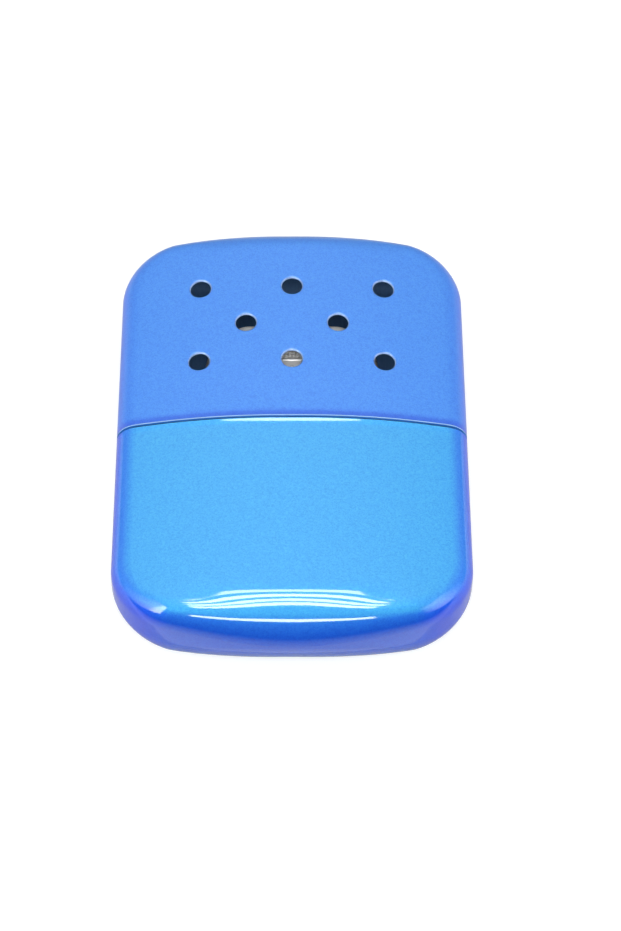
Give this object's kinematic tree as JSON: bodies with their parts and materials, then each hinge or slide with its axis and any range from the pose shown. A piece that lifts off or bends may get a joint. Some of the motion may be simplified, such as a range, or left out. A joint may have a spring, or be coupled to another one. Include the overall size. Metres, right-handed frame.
{
  "type": "hand warmer",
  "caption": "Flat pocket hand warmer with rounded ends: a fuel tank with a slide-off vented lid over a pull-off catalytic burner.",
  "frame": {"origin": "on the resting surface, under the middle of the closed case lying on its back", "axes": "+X across the width, +Y from the base to the top of the lid, +Z out of the front face"},
  "size_m": [0.068, 0.095, 0.019],
  "materials": {
    "lid_paint": "satin metallic blue lacquer",
    "tank_paint": "glossy metallic blue lacquer",
    "nickel": "nickel-plated sheet, lightly drawn",
    "wire": "bright drawn wire",
    "gauze": "woven steel wire, heat-dulled",
    "glass_fibre": "white glass-fibre mat",
    "felt": "wool felt",
    "cotton": "cotton wadding"
  },
  "bodies": {
    "tank": {"tank_shell": "tank_paint", "neck_cup": "nickel", "mouth_collar": "nickel", "cotton_wadding": "cotton", "wick_felt": "felt"},
    "burner": {"burner_skirt": "nickel", "burner_hood": "nickel", "catalyst_mat": "glass_fibre", "catalyst_gauze": "gauze", "mat_wires": "wire"},
    "lid": {"lid_shell": "lid_paint"}
  },
  "joints": [
    {"name": "lid_slide", "type": "slide", "parent": "tank", "child": "lid", "axis": [0, 1, 0], "range_m": [0, 0.06]},
    {"name": "burner_pull", "type": "slide", "parent": "tank", "child": "burner", "axis": [0, 1, 0], "range_m": [0, 0.016]}
  ]
}
